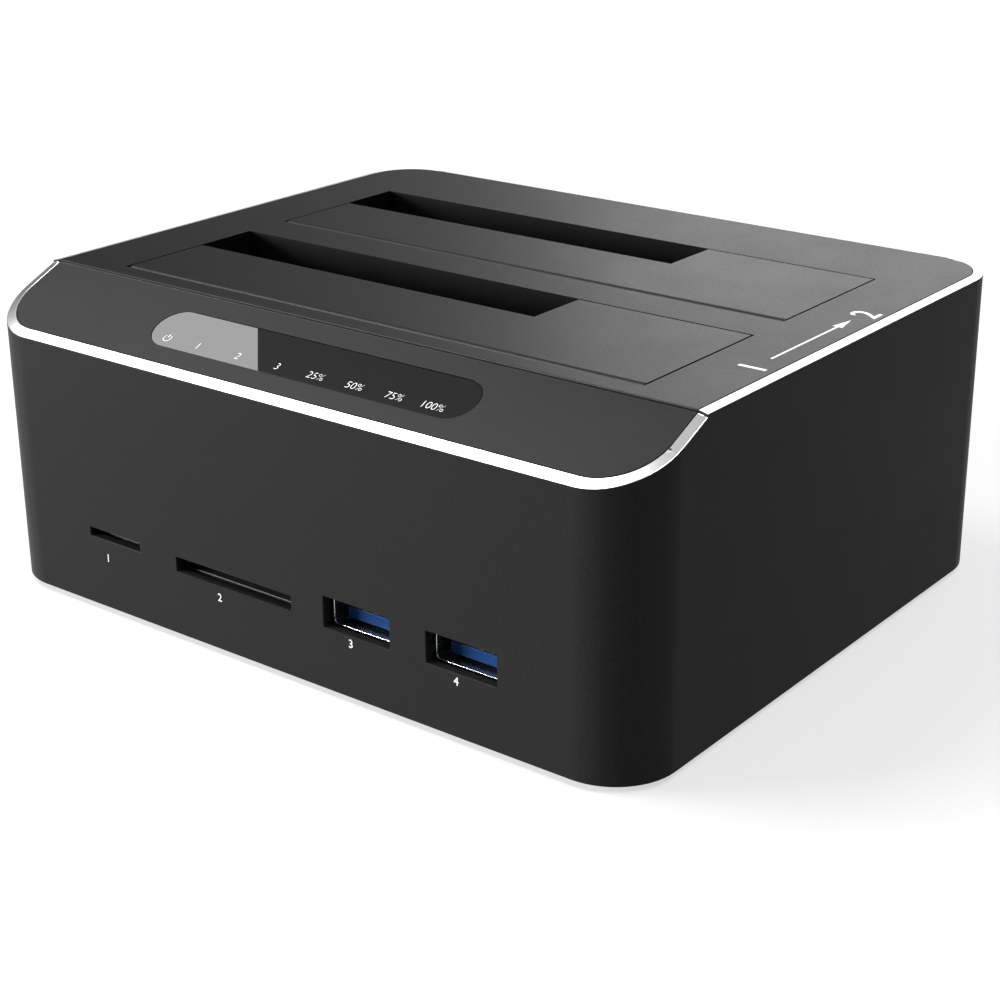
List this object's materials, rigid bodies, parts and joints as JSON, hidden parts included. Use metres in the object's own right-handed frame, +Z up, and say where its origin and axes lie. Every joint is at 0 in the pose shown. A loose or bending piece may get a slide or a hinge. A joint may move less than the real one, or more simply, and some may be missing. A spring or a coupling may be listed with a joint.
{
  "type": "drive duplicator",
  "caption": "Desktop drive duplicator with two sprung-door drive bays in a sloped-front metal sleeve, with card and USB sockets in front and power and data sockets behind.",
  "frame": {"origin": "on the surface the feet stand on, under the middle of the housing", "axes": "+Z up, +X to the right seen from the front, +Y from the front face to the rear"},
  "size_m": [0.13, 0.1068, 0.0524],
  "materials": {
    "black_anodised_aluminium": "fine blasted and black anodised, with a bright cut rim",
    "black_moulding": "fine matt moulding",
    "inner_moulding": "plain black moulding",
    "smoked_acrylic": "smoked, glossy",
    "white_moulding": "plain white moulding",
    "circuit_board": "solder mask over glass laminate",
    "steel": "bright drawn steel",
    "plated_shell": "nickel plated sheet",
    "blue_insulator": "blue moulded insulator",
    "black_insulator": "black moulded insulator",
    "gold_contact": "gold plated",
    "black_rubber": "soft rubber",
    "lamp_epoxy": "clear epoxy over a lamp chip",
    "chip_epoxy": "moulded chip package",
    "can_aluminium": "drawn can in a printed sleeve",
    "ferrite": "pressed ferrite",
    "cable_film": "white polyester film"
  },
  "bodies": {
    "housing": {"base_plate": "inner_moulding", "bridge_chip": "chip_epoxy", "cable_sockets": "white_moulding", "capacitors": "can_aluminium", "card_contacts": "gold_contact", "card_reader_chip": "chip_epoxy", "card_socket": "black_insulator", "card_socket_lid": "plated_shell", "case_screws": "steel", "coils": "ferrite", "copy_switch": "black_insulator", "crystals": "steel", "dc_socket": "black_insulator", "dc_socket_pin": "plated_shell", "door_spring_a": "steel", "door_spring_b": "steel", "drive_well_a": "inner_moulding", "drive_well_b": "inner_moulding", "hinge_pin_a": "steel", "hinge_pin_b": "steel", "housing_sleeve": "black_anodised_aluminium", "hub_chip": "chip_epoxy", "indicator_board": "circuit_board", "indicator_cable": "cable_film", "indicator_lamps": "lamp_epoxy", "indicator_lens": "smoked_acrylic", "light_guide": "white_moulding", "main_board": "circuit_board", "memory_chip": "chip_epoxy", "micro_card_contacts": "gold_contact", "micro_card_socket": "black_insulator", "micro_card_socket_lid": "plated_shell", "power_switch": "black_insulator", "rubber_feet": "black_rubber", "sata_contacts_a": "gold_contact", "sata_contacts_b": "gold_contact", "sata_socket_a": "black_insulator", "sata_socket_b": "black_insulator", "top_cover": "black_moulding", "usb_b_core": "blue_insulator", "usb_b_shell": "plated_shell", "usb_socket_contacts": "gold_contact", "usb_socket_core_left": "blue_insulator", "usb_socket_core_right": "blue_insulator", "usb_socket_shell_left": "plated_shell", "usb_socket_shell_right": "plated_shell"},
    "door_a": {"door_a": "black_moulding"},
    "door_b": {"door_b": "black_moulding"},
    "power_button": {"power_button": "black_moulding"},
    "copy_button": {"copy_button": "black_moulding"}
  },
  "joints": [
    {"name": "door_a_hinge", "type": "hinge", "parent": "housing", "child": "door_a", "pos_m": [0, -0.0321, 0.0511], "axis": [-1, 0, 0], "range_deg": [0, 90], "stiffness_Nm_per_rad": 0.003, "springref_deg": -68.75, "deforming": ["door_spring_a"]},
    {"name": "door_b_hinge", "type": "hinge", "parent": "housing", "child": "door_b", "pos_m": [0, 0.0055, 0.0511], "axis": [-1, 0, 0], "range_deg": [0, 90], "stiffness_Nm_per_rad": 0.003, "springref_deg": -68.75, "deforming": ["door_spring_b"]},
    {"name": "power_button_push", "type": "slide", "parent": "housing", "child": "power_button", "axis": [0, -1, 0], "range_m": [0, 0.0022], "stiffness_N_per_m": 500, "springref_m": -0.001},
    {"name": "copy_button_push", "type": "slide", "parent": "housing", "child": "copy_button", "axis": [0, -1, 0], "range_m": [0, 0.001], "stiffness_N_per_m": 800, "springref_m": -0.0008}
  ]
}
